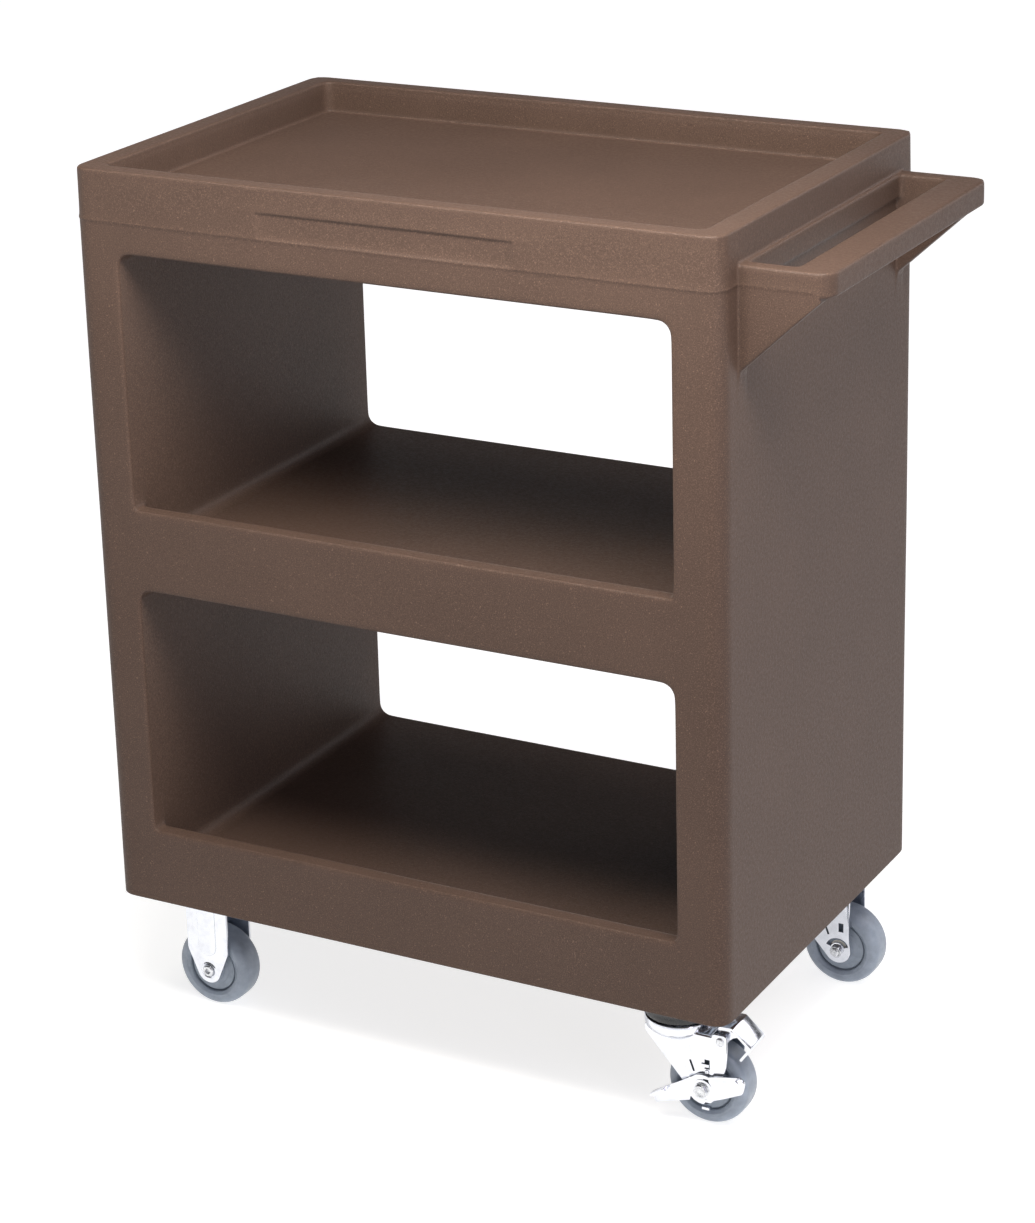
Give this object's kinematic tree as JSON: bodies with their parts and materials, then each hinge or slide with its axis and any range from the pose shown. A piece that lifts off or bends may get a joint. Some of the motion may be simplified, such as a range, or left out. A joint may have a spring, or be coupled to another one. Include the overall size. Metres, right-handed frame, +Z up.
{
  "type": "food service trolley",
  "caption": "Moulded plastic service trolley with open bays, a recessed top tray, a push handle and rolling casters, two fixed and two swivelling, one of them with a brake.",
  "frame": {"origin": "on the floor, at the middle of the whole trolley's footprint, handle included", "axes": "+Z up; +X along the length, towards the push handle and the swivel casters; -Y faces the front panels"},
  "size_m": [0.7, 0.406, 0.81],
  "materials": {
    "body_plastic": "fine-textured moulded polyethylene, dark brown, faint speckle",
    "plug_plastic": "black moulded plastic",
    "insert_brass": "plain turned brass",
    "wheel_rubber": "blue-grey non-marking rubber, satin",
    "wheel_core": "blue-grey moulded plastic, satin",
    "bearing_nylon": "natural nylon",
    "seal_black": "black dust seal, slightly glossy with grease",
    "bright_chrome": "bright plated pressed steel",
    "zinc_plate": "bright zinc-plated pressed steel",
    "fastener_steel": "zinc-plated fastener steel"
  },
  "bodies": {
    "cart": {"cart_body": "body_plastic", "caster_inserts": "insert_brass", "mount_bolts": "fastener_steel", "mount_washers": "fastener_steel", "vent_plug": "plug_plastic", "fix_n_plate": "zinc_plate", "fix_n_fork": "bright_chrome", "fix_n_axle": "fastener_steel", "fix_n_nut": "fastener_steel", "fix_n_sleeve": "fastener_steel", "swv_n_plate": "zinc_plate", "swv_n_seal": "seal_black", "swv_n_balls": "fastener_steel", "swv_n_kingpin": "fastener_steel", "swv_n_kingnut": "fastener_steel", "fix_f_plate": "zinc_plate", "fix_f_fork": "bright_chrome", "fix_f_axle": "fastener_steel", "fix_f_nut": "fastener_steel", "fix_f_sleeve": "fastener_steel", "swv_f_plate": "zinc_plate", "swv_f_seal": "seal_black", "swv_f_balls": "fastener_steel", "swv_f_kingpin": "fastener_steel", "swv_f_kingnut": "fastener_steel"},
    "fix_n_wheel": {"fix_n_bearing": "bearing_nylon", "fix_n_core": "wheel_core", "fix_n_tyre": "wheel_rubber"},
    "swv_n_caster": {"swv_n_fork": "bright_chrome", "swv_n_axle": "fastener_steel", "swv_n_nut": "fastener_steel", "swv_n_sleeve": "fastener_steel", "swv_n_shoepin": "fastener_steel"},
    "swv_n_wheel": {"swv_n_bearing": "bearing_nylon", "swv_n_core": "wheel_core", "swv_n_tyre": "wheel_rubber"},
    "swv_n_brake_lever": {"swv_n_lever": "bright_chrome"},
    "swv_n_brake_shoe": {"swv_n_shoe": "bright_chrome"},
    "fix_f_wheel": {"fix_f_bearing": "bearing_nylon", "fix_f_core": "wheel_core", "fix_f_tyre": "wheel_rubber"},
    "swv_f_caster": {"swv_f_fork": "bright_chrome", "swv_f_axle": "fastener_steel", "swv_f_nut": "fastener_steel", "swv_f_sleeve": "fastener_steel"},
    "swv_f_wheel": {"swv_f_bearing": "bearing_nylon", "swv_f_core": "wheel_core", "swv_f_tyre": "wheel_rubber"}
  },
  "joints": [
    {"name": "fix_n_spin", "type": "hinge", "parent": "cart", "child": "fix_n_wheel", "pos_m": [-0.28, -0.146, 0.038], "axis": [0, 1, 0], "continuous": true},
    {"name": "swv_n_swivel", "type": "hinge", "parent": "cart", "child": "swv_n_caster", "pos_m": [0.2, -0.146, 0.092], "axis": [0, 0, 1], "continuous": true},
    {"name": "swv_n_spin", "type": "hinge", "parent": "swv_n_caster", "child": "swv_n_wheel", "pos_m": [0.232, -0.146, 0.038], "axis": [0, 1, 0], "continuous": true},
    {"name": "swv_n_brake", "type": "hinge", "parent": "swv_n_caster", "child": "swv_n_brake_lever", "pos_m": [0.232, -0.146, 0.038], "axis": [0, 1, 0], "range_deg": [0, 30]},
    {"name": "swv_n_shoe_hinge", "type": "hinge", "parent": "swv_n_caster", "child": "swv_n_brake_shoe", "pos_m": [0.248, -0.146, 0.086], "axis": [0, 1, 0], "range_deg": [0, 14.05]},
    {"name": "fix_f_spin", "type": "hinge", "parent": "cart", "child": "fix_f_wheel", "pos_m": [-0.28, 0.146, 0.038], "axis": [0, 1, 0], "continuous": true},
    {"name": "swv_f_swivel", "type": "hinge", "parent": "cart", "child": "swv_f_caster", "pos_m": [0.2, 0.146, 0.092], "axis": [0, 0, 1], "continuous": true},
    {"name": "swv_f_spin", "type": "hinge", "parent": "swv_f_caster", "child": "swv_f_wheel", "pos_m": [0.232, 0.146, 0.038], "axis": [0, 1, 0], "continuous": true}
  ],
  "couplings": [
    {"joint": "swv_n_shoe_hinge", "follows": "swv_n_brake", "ratio": 0.4667}
  ]
}
